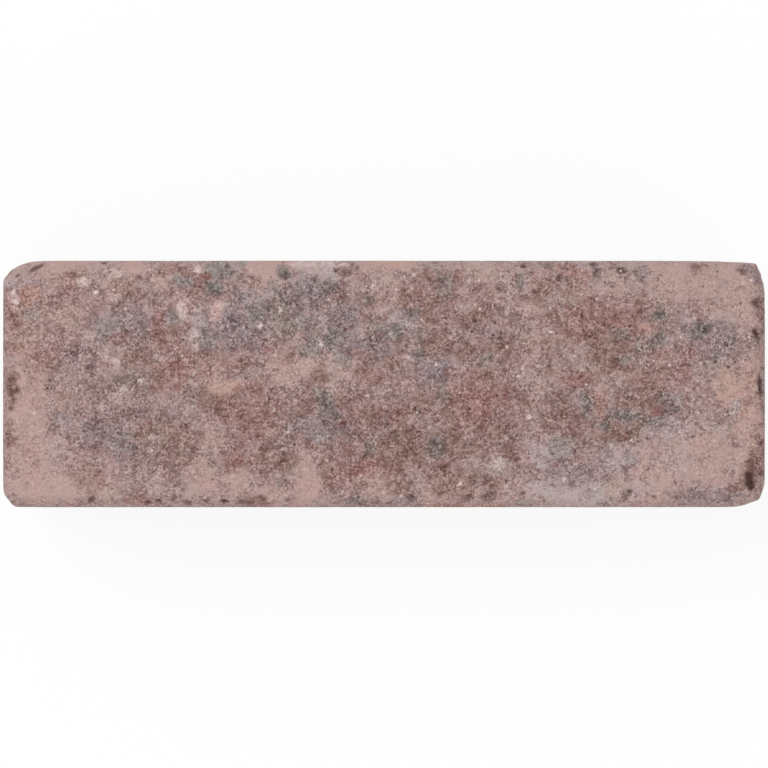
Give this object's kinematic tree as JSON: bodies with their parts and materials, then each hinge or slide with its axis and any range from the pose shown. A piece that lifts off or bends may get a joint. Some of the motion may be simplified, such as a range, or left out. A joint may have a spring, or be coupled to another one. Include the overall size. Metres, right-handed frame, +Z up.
{
  "type": "concrete paving stone",
  "caption": "Oblong tumbled concrete paving stone with worn round arrises, broken corners and chipped edges, laid flat in a bed as paving.",
  "frame": {"origin": "centre of the bed face, on the surface that the stone lies on", "axes": "+X along the length, +Y across the width, +Z up from the bed face to the wearing face"},
  "size_m": [0.21, 0.068, 0.06],
  "materials": {
    "tumbled_concrete": "matt, sandy, mottled red-brown, grey and buff"
  },
  "bodies": {
    "root": {"paving_stone": "tumbled_concrete"}
  },
  "joints": []
}
